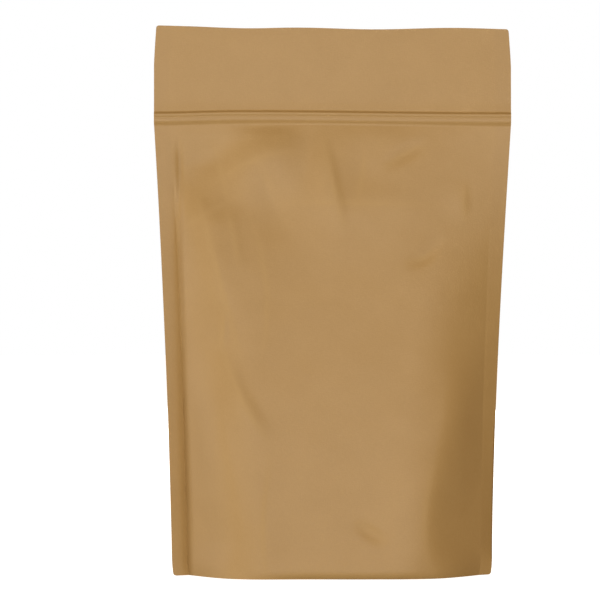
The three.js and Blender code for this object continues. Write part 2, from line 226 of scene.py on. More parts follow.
BACK_FOLDS = [
    Fold((-79, 184), (-60, 200), (-30, 213), 1.5, 9, 6),
    Fold((-74, 174), (-46, 190), (-8, 206), -1.5, 7, 8),
    Fold((14, 158), (18, 188), (6, 213), 1.6, 3.4, 8),
    Fold((78, 178), (58, 198), (34, 213), 1.4, 6, 9),
    Fold((44, 96), (56, 144), (64, 184), 1.5, 4, 9),
    Fold((36, 60), (52, 86), (52, 126), 1.4, 4, 9),
    Fold((-52, 40), (-40, 84), (-54, 134), 1.3, 8, 4),
    Fold((-24, 140), (-36, 152), (-52, 150), -1.1, 3, 5),
    Fold((-30, 16), (-16, 22), (-4, 31), 1.1, 3, 5),
]
print(len(FRONT_FOLDS), "folds in front,", len(BACK_FOLDS), "behind")

# %% [markdown]
# ### Film beside a fold
# A fold fades out at both ends, and across it the film comes back to its own level. So every place on the
# film looks up how far it is from the fold's line, how far along it and on which side. A stroke with a
# sculpting brush works in the same way. The paper is rubbed along the line itself, so its wear comes from
# the same distance.

# %% Raise the film along the folds
FOLD_STEPS = 16
FOLD_FADE_POWER = 1.3
WEAR_WIDTH = 1.3


def bell(distance, half_width):
    """A soft bump that is 1 at no distance and dies away over a width."""
    return np.exp(-((distance / half_width) ** 2))


def fold_line(fold):
    """Points along a fold, on a curve that starts out towards via and comes in from it."""
    share = np.linspace(0, 1, FOLD_STEPS + 1)[:, None]
    start, via, end = np.array(fold.start), np.array(fold.via), np.array(fold.end)
    return (1 - share) ** 2 * start + 2 * share * (1 - share) * via + share**2 * end


def beside_fold(x, z, fold):
    """Distance to a fold's line, the share of the way along it, and whether a place is on its left."""
    nearest = np.full_like(x, np.inf)
    along = np.zeros_like(x)
    on_left = np.zeros(x.shape, bool)
    line = fold_line(fold)
    for step, (start, end) in enumerate(zip(line[:-1], line[1:])):
        run = end - start
        share = np.clip(((x - start[0]) * run[0] + (z - start[1]) * run[1]) / (run @ run), 0, 1)
        gap_x = x - start[0] - share * run[0]
        gap_z = z - start[1] - share * run[1]
        gap = np.hypot(gap_x, gap_z)
        closer = gap < nearest
        nearest = np.where(closer, gap, nearest)
        along = np.where(closer, (step + share) / FOLD_STEPS, along)
        on_left = np.where(closer, run[0] * gap_z > run[1] * gap_x, on_left)
    return nearest, along, on_left


def fold_film(x, z, folds):
    """Rise of the film over all folds, and how worn its paper is along their lines."""
    rise = np.zeros_like(x)
    worn = np.zeros_like(x)
    for fold in folds:
        distance, along, on_left = beside_fold(x, z, fold)
        fade = np.sin(math.pi * along) ** FOLD_FADE_POWER
        rise += fold.rise * fade * bell(distance, np.where(on_left, fold.left, fold.right))
        worn = np.maximum(worn, fade * bell(distance, WEAR_WIDTH))
    return rise, worn


print("every fold is a line of", FOLD_STEPS, "steps, worn over", WEAR_WIDTH, "mm on either side")

# %% [markdown]
# ## The zip
# The two halves of a press zip are strips welded inside the films. Shut, they push out a band with a hard
# upper edge, a softer lower one and a faint groove between. A bump map would draw those lines too, but the
# band also shows at the sides, so it is real relief.

# %% Relief of the zip
ZIP_HEIGHT = 218.1
ZIP_LOW_EDGE = (213.8, 216.6)
ZIP_TOP_EDGE = (219.6, 221.0)
ZIP_RELIEF = 1.25
ZIP_EASE = 0.4
ZIP_EASE_EDGE = (219.6, 226)
ZIP_GROOVE = 0.25
ZIP_GROOVE_HALF_WIDTH = 0.5


def zip_band(z):
    """1 on the band of the closed zip and 0 off it."""
    return smooth(*ZIP_LOW_EDGE, z) * (1 - smooth(*ZIP_TOP_EDGE, z))


def zip_relief(z):
    """How far the band stands out, easing off above it, with a faint groove where its halves meet."""
    ease = smooth(ZIP_LOW_EDGE[1], ZIP_TOP_EDGE[0], z) * (1 - smooth(*ZIP_EASE_EDGE, z))
    groove = bell(z - ZIP_HEIGHT, ZIP_GROOVE_HALF_WIDTH)
    return ZIP_RELIEF * zip_band(z) + ZIP_EASE * ease - ZIP_GROOVE * groove


print("zip stands out by", zip_relief(ZIP_LOW_EDGE[1]).round(2), "mm at its lower edge")

# %% [markdown]
# ## The rest of a panel
# Under the zip the middle of the film steps out to meet the flour, and at the floor the panel's lowest strip
# curls under. Both are strongest near the middle and die away to the sides, so each is a curve over the
# height times a fade across the panel. Extra folds could do this too, but they would have to be very wide.

# %% Step under the zip and curl at the floor
NECK_STEP = 2.8
NECK_STEP_RUN = 12
NECK_STEP_MIDDLE = 14
NECK_STEP_REACH = (0.15, 0.8)
NECK_STEP_HEIGHTS = (162, 198)
CURL_HEIGHT = 4
CURL_DEPTH = 1.9
CURL_MIDDLE = 10
CURL_REACH = (0.3, 0.9)


def neck_step(x, z):
    """How far the film steps out under the zip."""
    below = np.clip(NECK_HEIGHT - z, 0, None)
    sideways = 1 - smooth(*NECK_STEP_REACH, np.abs(x - NECK_STEP_MIDDLE) / seam_at(z))
    return NECK_STEP * (1 - np.exp(-below / NECK_STEP_RUN)) * sideways * smooth(*NECK_STEP_HEIGHTS, z)


def floor_curl(x, z):
    """How far the panel's lowest strip curls under."""
    sideways = 1 - smooth(*CURL_REACH, np.abs(x - CURL_MIDDLE) / seam_at(z))
    return CURL_DEPTH * np.clip(1 - z / CURL_HEIGHT, 0, None) ** 2 * sideways


print("lowest strip curls under by", floor_curl(CURL_MIDDLE, 0.0), "mm")

# %% [markdown]
# ### Uneven paper
# Paper film is never quite even, so a few slanted waves of a fifth of a millimetre break up the smooth face.
# A Displace modifier with a noise texture would do much the same, but the waves can be added to the folds
# before there is a mesh.

# %% Slow waves over the film
UNEVEN_WAVES = ((46, 0.4, 1.0), (31, 1.9, 2.2), (22, 2.6, 4.1), (15, 1.1, 5.3))
UNEVENNESS = 0.2


def uneven(x, z):
    """Slow waves over the film, each with a length, a direction and a phase."""
    waves = [
        length * np.sin(2 * math.pi * (x * math.cos(angle) + z * math.sin(angle)) / length + phase)
        for length, angle, phase in UNEVEN_WAVES
    ]
    return UNEVENNESS * sum(waves) / sum(length for length, _, _ in UNEVEN_WAVES)


print(len(UNEVEN_WAVES), "waves of up to", UNEVENNESS, "mm together")

# %% [markdown]
# ### A whole panel
# The swell, the step, the folds and the waves add up to one panel, and the curl and the zip finish its lower
# and its upper end. Folds and waves fade out where the film is held, at the seams and at the zip. The back
# comes from the same function with its own folds.

# %% Depth of a panel
FILM_PAIR = 0.6
HELD_SEAM_POWER = 12
HELD_UNDER_ZIP = 6


def panel_film(x, z, folds):
    """How far a panel's outer face stands from the plane of the seams, and its wear."""
    across = np.clip(np.abs(x) / seam_at(z), 0, 1)
    rise, worn = fold_film(x, z, folds)
    free = (1 - across**HELD_SEAM_POWER) * smooth(0, HELD_UNDER_ZIP, NECK_HEIGHT - z)
    filled = swell_at(z) * section_at(across, z) + neck_step(x, z) + (rise + uneven(x, z)) * free
    filled = np.clip(filled - floor_curl(x, z), 0, None)
    return FILM_PAIR / 2 + filled + zip_relief(z), worn * free


middle_depth, _ = panel_film(np.zeros(1), np.full(1, SHOULDER_START, float), FRONT_FOLDS)
print("middle of the front at the shoulder stands out by", middle_depth.round(1), "mm")

# %% [markdown]
# ## The side seals
# In the side seals the two films are welded together, so they bend as one. The left seal bends forward and
# the right one back, most at the floor and not at all at the neck. A lattice modifier would bend the panel
# along with them, so the bend depends on how far out in the seal a place is.

# %% Bend the side seals
LEFT_SEAL_BEND = 3.5
LEFT_SEAL_POWER = 2
LEFT_STEEP_SHARE = 0.35
LEFT_STEEP_POWER = 4
RIGHT_SEAL_BEND = -6.4
RIGHT_SEAL_POWER = 1.3
RIGHT_FLOOR_SHARE = 0.6
RIGHT_FLOOR_HEIGHT = 16
SIDES = np.array([-1.0, 1.0])


def seal_freedom(x, z):
    """How free a seal is to bend, from 1 at the floor to 0 at the neck."""
    power = np.where(x < 0, LEFT_SEAL_POWER, RIGHT_SEAL_POWER)
    return 1 - np.clip(z / NECK_HEIGHT, 0, 1) ** power


def seal_bend(x, z, outside):
    """How far forward a seal has bent at a share of the way from its seam to its outer edge."""
    steep = 1 - (1 - outside) ** LEFT_STEEP_POWER
    left = LEFT_SEAL_BEND * (outside + LEFT_STEEP_SHARE * (steep - outside))
    off_floor = RIGHT_FLOOR_SHARE + (1 - RIGHT_FLOOR_SHARE) * smooth(0, RIGHT_FLOOR_HEIGHT, z)
    right = RIGHT_SEAL_BEND * off_floor * outside
    return np.where(x < 0, left, right) * seal_freedom(x, z)


print("outer edges at the floor bend forward by", seal_bend(SIDES, 0.0, 1.0).round(1), "mm")

# %% [markdown]
# ### Seams beside a bent seal
# A bent seal takes up less width, and its outer edge stays where the picture has it, so the seam beside it
# stands further out. Only the outer part of the panel has to follow, which a power of the distance from the
# middle gives.

# %% Let out the seams
LEFT_SEAL_LOSS = 1.0
RIGHT_SEAL_LOSS = 2.3
SEAL_LOSS_POWER = 4


def let_out(x, z):
    """Where a place is from left to right, once the bent seals have let the seams out."""
    loss = np.where(x < 0, -LEFT_SEAL_LOSS, RIGHT_SEAL_LOSS) * seal_freedom(x, z)
    outside = np.clip((np.abs(x) - seam_at(z)) / SEAL_WIDTH, 0, 1)
    across = np.clip(np.abs(x) / seam_at(z), 0, 1)
    return x + loss * across**SEAL_LOSS_POWER * (1 - outside)


print("seams at the floor stand at", let_out(SIDES * seam_at(0.0), 0.0).round(1), "mm")

# %% [markdown]
# ### The left seam
# The left seal leaves a groove along its seam. High up, the panel also falls back from that seam in a step,
# which evens out further in. Loop cuts along the seam could be pushed in by hand, but both forms change with
# the height, so they are values that climb, as in the section.

# %% Groove and step along the left seam
SEAM_GROOVE = (0.0, ((0, 6, 0.35), (110, 160, 0.5), (195, 212, -0.85)))
SEAM_GROOVE_HALF_WIDTH = 1.4
SEAM_GROOVE_INSET = (0.0, ((85, 135, 1.2), (145, 200, 2.0)))
SEAM_STEP = (0.0, ((135, 178, 2.6), (194, 212, -2.6)))
SEAM_STEP_RUN = 7
SEAM_STEP_FADE = (20, 56)


def left_seam(z, past_seam):
    """How far the film falls back along the left seam: a groove, and higher up a step to the panel."""
    from_groove = past_seam + climbed(SEAM_GROOVE_INSET, z)
    groove = climbed(SEAM_GROOVE, z) * bell(from_groove, SEAM_GROOVE_HALF_WIDTH)
    inside = np.clip(-past_seam, 0, None)
    fallen = (1 - np.exp(-inside / SEAM_STEP_RUN)) * (1 - smooth(*SEAM_STEP_FADE, inside))
    return groove + climbed(SEAM_STEP, z) * fallen


print("groove", 2 * SEAM_GROOVE_HALF_WIDTH, "mm wide, step gone", SEAM_STEP_FADE[1], "mm from the seam")

# %% [markdown]
# ## Bends of the whole pouch
# In the header the two films lie together too, and they wave a little. The filled part is turned about the
# upright axis, as it is when a pouch settles. A Simple Deform modifier could twist the mesh, but the turn
# starts and ends at chosen heights. With the seals and the left seam, this is one bend for both films.

# %% Bends that both films share
HEADER_START = 221.1
HEADER_WAVE = 1.0
HEADER_WAVE_START = 25
HEADER_HALF_WAVE = 110
TWIST = 0.04
TWIST_START = (0, 40)
TWIST_FADE = (110, 190)


def shared_bend(x, z):
    """How far both films together stand back from the plane of the seams."""
    wave = np.sin(math.pi * (x - HEADER_WAVE_START) / HEADER_HALF_WAVE)
    header = HEADER_WAVE * smooth(HEADER_START, HEIGHT, z) * wave
    past_seam = np.abs(x) - seam_at(z)
    twist = TWIST * x * smooth(*TWIST_START, z) * (1 - smooth(*TWIST_FADE, z))
    seal = seal_bend(x, z, np.clip(past_seam / SEAL_WIDTH, 0, 1))
    return header - seal + np.where(x < 0, left_seam(z, past_seam), 0) + twist


floor_edges = SIDES * (seam_at(0.0) + SEAL_WIDTH)
print("outer edges at the floor stand back by", shared_bend(floor_edges, 0.0).round(1), "mm")

# %% [markdown]
# ### Lines that are not straight
# The zip line sags to the right and at its left end, and the top edge waves and lifts at the left corner.
# Turning the pouch would tilt everything else as well, so only heights change, and only near those two
# lines.

# %% Heights of the zip line and the top edge
ZIP_WAVE = 0.5
ZIP_WAVE_CREST = -40
ZIP_HALF_WAVE = 120
ZIP_END_DIP = 0.45
ZIP_END = (45, 80)
BELOW_ZIP = (170, 212)
ABOVE_ZIP = (224, 250)
CORNER_LIFT = 1.2
CORNER_LIFT_FROM = (30, 68)
TOP_EDGE_WAVE = 0.39
TOP_EDGE_CREST = -17
TOP_EDGE_HALF_WAVE = 37


def lifted_height(x, z):
    """The height of a place, once the zip line has sagged and the top edge has lifted."""
    near_zip = smooth(*BELOW_ZIP, z) * (1 - smooth(*ABOVE_ZIP, z))
    zip_wave = ZIP_WAVE * np.cos(math.pi * (x - ZIP_WAVE_CREST) / ZIP_HALF_WAVE)
    zip_line = (zip_wave - ZIP_END_DIP * smooth(*ZIP_END, -x)) * near_zip
    wave = TOP_EDGE_WAVE * np.cos(math.pi * (x - TOP_EDGE_CREST) / TOP_EDGE_HALF_WAVE)
    top_edge = (wave + CORNER_LIFT * smooth(*CORNER_LIFT_FROM, -x)) * smooth(HEADER_START, HEIGHT, z)
    return z + zip_line + top_edge


top_corners = SIDES * (seam_at(HEIGHT) + SEAL_WIDTH)
print("top corners at", lifted_height(top_corners, HEIGHT).round(1), "mm")

# %% [markdown]
# ## The film as a mesh
# The skin is a lattice: rows of points at each height, from the left seal over the panel to the right seal,
# once for the front and once for the back. Rows are close together at the zip, where the form turns within
# a millimetre, and columns at the seams. Working out the points as arrays is quicker than moving vertices
# one by one.

# %% Lay out the lattice
PANEL_STEPS = 150
SEAL_STEPS = 8
SEAL_CROWDING = 1.5
SEAM_CROWDING = 0.6
CORNER_RADIUS = 1.2
FLOOR_ROWS = (0, 0.4, 0.8, 1.2, 1.9, 2.8, 4.0, 5.3, 6.8, 8.4, 10)
TOP_ROWS = (1.2, 0.8, 0.4, 0.1, 0)
ROW_STEP = 1.4
ZIP_ROW_STEP = 0.25
ZIP_ROWS = (213, 223.5)


def row_heights():
    """Heights of the rows, closer together at the floor, the zip and the top edge."""
    return np.concatenate([
        FLOOR_ROWS,
        np.arange(FLOOR_ROWS[-1] + ROW_STEP, ZIP_ROWS[0] - ROW_STEP / 2, ROW_STEP),
        np.arange(*ZIP_ROWS, ZIP_ROW_STEP),
        np.arange(ZIP_ROWS[1], HEIGHT - TOP_ROWS[0] - ROW_STEP / 2, ROW_STEP),
        HEIGHT - np.array(TOP_ROWS),
    ])


def corner_inset(z):
    """How far a rounded outer corner stands in from the edge, near the floor and the top."""
    reach = np.clip(CORNER_RADIUS - np.minimum(z, HEIGHT - z), 0, None)
    return CORNER_RADIUS - np.sqrt(CORNER_RADIUS**2 - reach**2)


def lattice(heights):
    """The x and z of every lattice point on the flat film."""
    z = heights[:, None]
    even = np.linspace(-1, 1, PANEL_STEPS + 1)
    panel = seam_at(z) * (even + SEAM_CROWDING * (np.sin(math.pi / 2 * even) - even))
    seal_steps = np.linspace(0, 1, SEAL_STEPS + 1)[1:] ** SEAL_CROWDING
    right_seal = seam_at(z) + (SEAL_WIDTH - corner_inset(z)) * seal_steps
    x = np.concatenate([-right_seal[:, ::-1], panel, right_seal], axis=1)
    return x, np.broadcast_to(z, x.shape).copy()


flat_x, flat_z = lattice(row_heights())
print("lattice of", flat_x.shape[0], "rows and", flat_x.shape[1], "columns")

# %% [markdown]
# ### Points of both panels
# Every lattice point now gets its place in space. The shared bend moves both films, and each film then
# stands off from it by its own depth, to the front or to the back.

# %% Place the points
front_depth, front_worn = panel_film(flat_x, flat_z, FRONT_FOLDS)
back_depth, back_worn = panel_film(flat_x, flat_z, BACK_FOLDS)
bend = shared_bend(flat_x, flat_z)
lifted = lifted_height(flat_x, flat_z)
sideways = let_out(flat_x, flat_z)
front = np.stack([sideways, bend - front_depth, lifted], axis=-1)
back = np.stack([sideways, bend + back_depth, lifted], axis=-1)
print("front reaches", front[..., 1].min().round(2), "mm and back", back[..., 1].max().round(2), "mm")

# %% [markdown]
# ## One closed skin
# Two open sheets would show gaps at the edges, and a solidified sheet would double every face. So front,
# back and the thin edges between them share their points, and the sheets below add to one list of faces.
# Each point also carries two numbers for the paper: how worn it is on a fold, and how hard it was pressed
# in a seal or at the zip.

# %% A list of points and faces
class Skin:
    """Points, faces and paper values of one mesh."""

    def __init__(self):
        self.points = []
        self.worn = []
        self.pressed = []
        self.faces = []
        self.count = 0

    def add(self, points, worn=0.0, pressed=0.0):
        """Adds an array of points and returns their numbers in the same arrangement."""
        shape = points.shape[:-1]
        numbers = np.arange(self.count, self.count + math.prod(shape)).reshape(shape)
        self.count += numbers.size
        self.points.append(points.reshape(-1, 3))
        self.worn.append(np.broadcast_to(worn, shape).ravel())
        self.pressed.append(np.broadcast_to(pressed, shape).ravel())
        return numbers

    def sheet(self, numbers):
        """Fills a grid of point numbers with four-sided faces."""
        corners = (numbers[:-1, :-1], numbers[:-1, 1:], numbers[1:, 1:], numbers[1:, :-1])
        self.faces.extend(np.stack(corners, axis=-1).reshape(-1, 4).tolist())

    def face(self, numbers):
        """Adds one face of any number of corners."""
        self.faces.append([int(number) for number in numbers])


skin = Skin()
print("skin starts with", skin.count, "points")

# %% [markdown]
# ### Panels and side edges
# The panels are two grids with the same rows and columns. The back one is turned round, so that its faces
# look outwards too. At either side, one strip of narrow faces joins their outer columns.

# %% Build the panels and the side edges
SEAL_PRESS_RUN = 1.5
ZIP_PRESS = 0.9

in_seal = smooth(0, SEAL_PRESS_RUN, np.abs(flat_x) - seam_at(flat_z))
pressed = np.maximum(in_seal, ZIP_PRESS * zip_band(flat_z))
front_numbers = skin.add(front, front_worn, pressed)
back_numbers = skin.add(back, back_worn, pressed)
skin.sheet(front_numbers)
skin.sheet(back_numbers[:, ::-1])
skin.sheet(np.stack([back_numbers[:, 0], front_numbers[:, 0]], axis=1))
skin.sheet(np.stack([front_numbers[:, -1], back_numbers[:, -1]], axis=1))
print("panels and edges:", len(skin.faces), "faces")

# %% [markdown]
# ### The top edge
# Above the zip the two films are not joined, so the top edge is two thin edges with a slit between them. The
# slit goes down a few millimetres, which is as far as one can see into it. A flat lid would be simpler, but
# seen from above it would look like one thick card.

# %% Place the points of the slit
FILM = 0.18
SLIT_DEPTHS = np.array([0.0, 2.0, 5.0, 9.0])

left_column = SEAL_STEPS
right_column = SEAL_STEPS + PANEL_STEPS
in_panel = slice(left_column, right_column + 1)
slit_x = np.broadcast_to(flat_x[-1, in_panel], (len(SLIT_DEPTHS), PANEL_STEPS + 1))
slit_z = flat_z[-1, in_panel] - SLIT_DEPTHS[:, None]
slit_bend = shared_bend(slit_x, slit_z)
slit_height = lifted_height(slit_x, slit_z)
half_gap = FILM_PAIR / 2 - FILM
front_inner = skin.add(np.stack([slit_x, slit_bend - half_gap, slit_height], axis=-1))
back_inner = skin.add(np.stack([slit_x, slit_bend + half_gap, slit_height], axis=-1))
print("slit", round(2 * half_gap, 2), "mm wide and", SLIT_DEPTHS[-1], "mm deep")

# %% [markdown]
# The edges of the films, the walls of the slit, its floor and its ends close the top between the seams. Over
# the seals the two films are one edge. Where that edge meets the end of the slit, one face with six corners
# fills the place.

# %% Close the top
front_top, back_top = front_numbers[-1], back_numbers[-1]
skin.sheet(np.stack([front_top[in_panel], front_inner[0]]))
skin.sheet(np.stack([back_inner[0], back_top[in_panel]]))
skin.sheet(front_inner)
skin.sheet(back_inner[:, ::-1])
skin.sheet(np.stack([front_inner[-1], back_inner[-1]]))
skin.sheet(np.stack([front_inner[:, 0], back_inner[:, 0]]))
skin.sheet(np.stack([back_inner[:, -1], front_inner[:, -1]]))
skin.sheet(np.stack([front_top[:left_column], back_top[:left_column]]))
skin.sheet(np.stack([front_top[right_column + 1 :], back_top[right_column + 1 :]]))
left_end = (0, left_column, left_column - 1, 1)
right_end = (-1, right_column, right_column + 1, -1)
for end, seam, outer, order in (left_end, right_end):
    front_rim = [front_top[outer], front_top[seam], front_inner[0, end]]
    back_rim = [back_inner[0, end], back_top[seam], back_top[outer]]
    skin.face((front_rim + back_rim)[::order])
print("with the top:", len(skin.faces), "faces")

# %% [markdown]
# ### The base
# Underneath, the panels end in a thin skirt. Behind it the gusset slopes up and comes down again to a flat
# where the flour presses it onto the floor. At the corners it stays up, because there it is folded. A flat
# bottom would look the same in the picture, but not from below.

# %% Shape the gusset
SKIRT_THICKNESS = 0.8
SKIRT_LIMIT = 0.25
GUSSET_RISE = 5
GUSSET_CORNER_RISE = 8
GUSSET_RISE_LIMIT = 0.4
GUSSET_SLOPE_RUN = 4
GUSSET_SLOPE_LIMIT = 0.2
GUSSET_FLAT_SHARE = 0.5
GUSSET_CORNER = (0.45, 0.85)
GUSSET_STEPS = 24


def gusset_strip(front_edge, back_edge):
    """The base across each panel column, from the inside of the front skirt to that of the back one."""
    share = np.linspace(-1, 1, GUSSET_STEPS + 1)[None, :]
    half = ((back_edge[:, 1] - front_edge[:, 1]) / 2)[:, None]
    middle = ((back_edge[:, 1] + front_edge[:, 1]) / 2)[:, None]
    across = (np.abs(front_edge[:, 0]) / seam_at(0.0))[:, None]
    skirt = np.minimum(SKIRT_THICKNESS, half * SKIRT_LIMIT)
    corner = smooth(*GUSSET_CORNER, across)
    rise = np.minimum(GUSSET_RISE + GUSSET_CORNER_RISE * corner, half * GUSSET_RISE_LIMIT)
    slope = np.minimum(GUSSET_SLOPE_RUN, half * GUSSET_SLOPE_LIMIT) / (half - skirt)
    inset = 1 - np.abs(share)
    up = smooth(0, slope, inset)
    down = smooth(slope, GUSSET_FLAT_SHARE, inset)
    height = rise * up * (1 - (1 - corner) * down)
    column_x = np.broadcast_to(front_edge[:, :1], height.shape)
    return np.stack([column_x, middle + share * (half - skirt), height], axis=-1)


between_seams = slice(left_column + 1, right_column)
gusset_points = gusset_strip(front[0, between_seams], back[0, between_seams])
print("gusset rises to", gusset_points[..., 2].max().round(1), "mm at its folded corners")

# %% [markdown]
# The gusset's strips run from the front panel's lower edge to the back one's, so they share those points and
# leave no gap. The seals end in a narrow edge, and one face with many corners closes each end of the gusset.

# %% Close the base
front_floor, back_floor = front_numbers[0], back_numbers[0]
left_seal = slice(0, left_column + 1)
right_seal = slice(right_column, None)
gusset = skin.add(gusset_points)
strips = np.concatenate([front_floor[between_seams, None], gusset, back_floor[between_seams, None]], axis=1)
skin.sheet(strips.T[::-1])
skin.sheet(np.stack([back_floor[left_seal], front_floor[left_seal]]))
skin.sheet(np.stack([back_floor[right_seal], front_floor[right_seal]]))
skin.face([front_floor[left_column], back_floor[left_column], *strips[0][::-1]])
skin.face([back_floor[right_column], front_floor[right_column], *strips[-1]])
print("with the base:", len(skin.faces), "faces")

# %% [markdown]
# ### From lists to a mesh
# The lists become one mesh in metres, with the paper's two numbers as attributes on its points. The film is
# shaded smooth, and only its true edges, at the seals and the top, stay sharp. An angle finds those edges,
# which is less work than marking them one by one.

# %% Make the mesh
SHARP_ANGLE = math.radians(50)

mesh = bpy.data.meshes.new("pouch_film")
mesh.from_pydata(np.concatenate(skin.points) * MILLIMETRE, [], skin.faces)
for name, values in (("worn", skin.worn), ("pressed", skin.pressed)):
    attribute = mesh.attributes.new(name, "FLOAT", "POINT")
    attribute.data.foreach_set("value", np.concatenate(values).astype(np.float32))
mesh.validate()
mesh.shade_smooth()
mesh.set_sharp_from_angle(angle=SHARP_ANGLE)
pouch = bpy.data.objects.new("pouch_film", mesh)
scene.collection.objects.link(pouch)
print("pouch film:", len(mesh.vertices), "points,", len(mesh.polygons), "faces")

# %% [markdown]
# ## Shader maths in Python
# A material is a graph of nodes, and long graphs are hard to read. A small class wraps one socket, so that
# arithmetic on it adds the Math nodes.

# %% A socket that takes part in arithmetic
class Signal:
    """A number that varies over the surface, usable in Python arithmetic."""

    def __init__(self, tree, socket):
        self.tree = tree
        self.socket = socket

    def maths(self, operation, first, second):
        """Adds a Math node for two values."""
        return self.tree.signal("ShaderNodeMath", {"operation": operation}, {0: first, 1: second})

    def __add__(self, other):
        return self.maths("ADD", self, other)

    def __radd__(self, other):
        return self.maths("ADD", other, self)

    def __sub__(self, other):
        return self.maths("SUBTRACT", self, other)

    def __rsub__(self, other):
        return self.maths("SUBTRACT", other, self)

    def __mul__(self, other):
        return self.maths("MULTIPLY", self, other)

    def __rmul__(self, other):
        return self.maths("MULTIPLY", other, self)


print("signals can be added, subtracted and multiplied")

# %% [markdown]
# A second class wraps a node tree, and its one method makes any other node from its settings and inputs. The
# sky is a node tree as well, so it uses the same method. A Math node would turn a colour grey, so colours go
# through a Mix node, which has sockets for each kind of value. The numbers below are those for colours.

# %% A node tree
MIX_SHARE = 0
MIX_FIRST = 6
MIX_SECOND = 7
MIX_RESULT = 2


class Tree:
    """The node tree of a material or of the sky."""

    def __init__(self, owner):
        owner.use_nodes = True
        self.nodes = owner.node_tree.nodes
        self.links = owner.node_tree.links

    def node(self, kind, settings, inputs, output=0):
        """Makes a node with its settings set first, then its sockets' values or links. Gives an output."""
        node = self.nodes.new(kind)
        for name, value in settings.items():
            setattr(node, name, value)
        for key, value in inputs.items():
            self.feed(node.inputs[key], value)
        return node.outputs[output]

    def feed(self, socket, value):
        """Links a signal or an output to a socket, or sets a plain value on it."""
        if isinstance(value, Signal):
            self.links.new(value.socket, socket)
        elif isinstance(value, bpy.types.NodeSocket):
            self.links.new(value, socket)
        else:
            socket.default_value = value

    def signal(self, kind, settings, inputs, output=0):
        """Makes a node and wraps its output for arithmetic."""
        return Signal(self, self.node(kind, settings, inputs, output))

    def mix(self, share, first, second):
        """A colour between two colours."""
        inputs = {MIX_SHARE: share, MIX_FIRST: first, MIX_SECOND: second}
        return self.node("ShaderNodeMix", {"data_type": "RGBA"}, inputs, MIX_RESULT)


print("helpers for node trees ready")

# %% [markdown]
# ## Brown paper film
# The film is kraft paper on a plastic backing: matt, warm brown, with fine fibres that lie every way but
# mostly across the roll, a few darker flecks and a slow cloudiness. A photograph of paper would need to be
# unwrapped over the folds. Noise in object space needs no image and holds together from every side, and
# stretched along one axis it gives fibres.

# %% Fibres, flecks and clouds
NOISE_ROUGHNESS = 0.55
ACROSS_FIBRES = {"stretch": (0.22, 1, 1), "scale": 2600, "low": 0.35, "high": 0.75}
ALONG_FIBRES = {"stretch": (1, 1, 0.3), "scale": 2100, "low": 0.4, "high": 0.8}
CLOUDS = {"stretch": (1, 1, 1), "scale": 55, "low": 0.3, "high": 0.7, "detail": 3.0}
FLECKS = {"stretch": (0.5, 1, 1), "scale": 1500, "low": 0.7, "high": 0.78, "detail": 1.0}


def speckle(tree, place, stretch, scale, low, high, detail=2.0):
    """Noise of so many features a metre, stretched along the axes, from 0 below low to 1 above high."""
    stretched = tree.node("ShaderNodeVectorMath", {"operation": "MULTIPLY"}, {0: place, 1: stretch})
    noise_inputs = {"Vector": stretched, "Scale": scale, "Detail": detail, "Roughness": NOISE_ROUGHNESS}
    noise = tree.node("ShaderNodeTexNoise", {"noise_dimensions": "3D"}, noise_inputs, "Fac")
    range_inputs = {"Value": noise, "From Min": low, "From Max": high}
    return tree.signal("ShaderNodeMapRange", {"clamp": True}, range_inputs)


print("fibres are about", round(1 / ACROSS_FIBRES["scale"] / MILLIMETRE, 2), "mm thick")

# %% [markdown]
# Along sharp folds the paper is rubbed a little paler, and in the welded seals and at the zip it is pressed
# smoother and darker. The mesh carries both as numbers on its points, so the colour is one brown, mixed in
# turn with a darker and a paler one. The fibres also roughen the sheen and give a faint grain.

# %% Make the paper film
PAPER = (0.373, 0.229, 0.0775, 1)
PAPER_DARK = (0.32, 0.19, 0.0575, 1)
PAPER_PALE = (0.44, 0.291, 0.116, 1)
CLOUD_DARKENS = 0.3
ACROSS_DARKENS = 0.25
ALONG_PALES = 0.22
FLECK_DARKENS = 0.35
WEAR_PALES = 0.25
PRESS_DARKENS = 0.2
PAPER_ROUGHNESS = 0.6
ALONG_ROUGHENS = 0.08
WEAR_ROUGHENS = 0.1
PRESS_SMOOTHS = 0.02
GRAIN_STRENGTH = 0.12
GRAIN_DEPTH = 0.0002


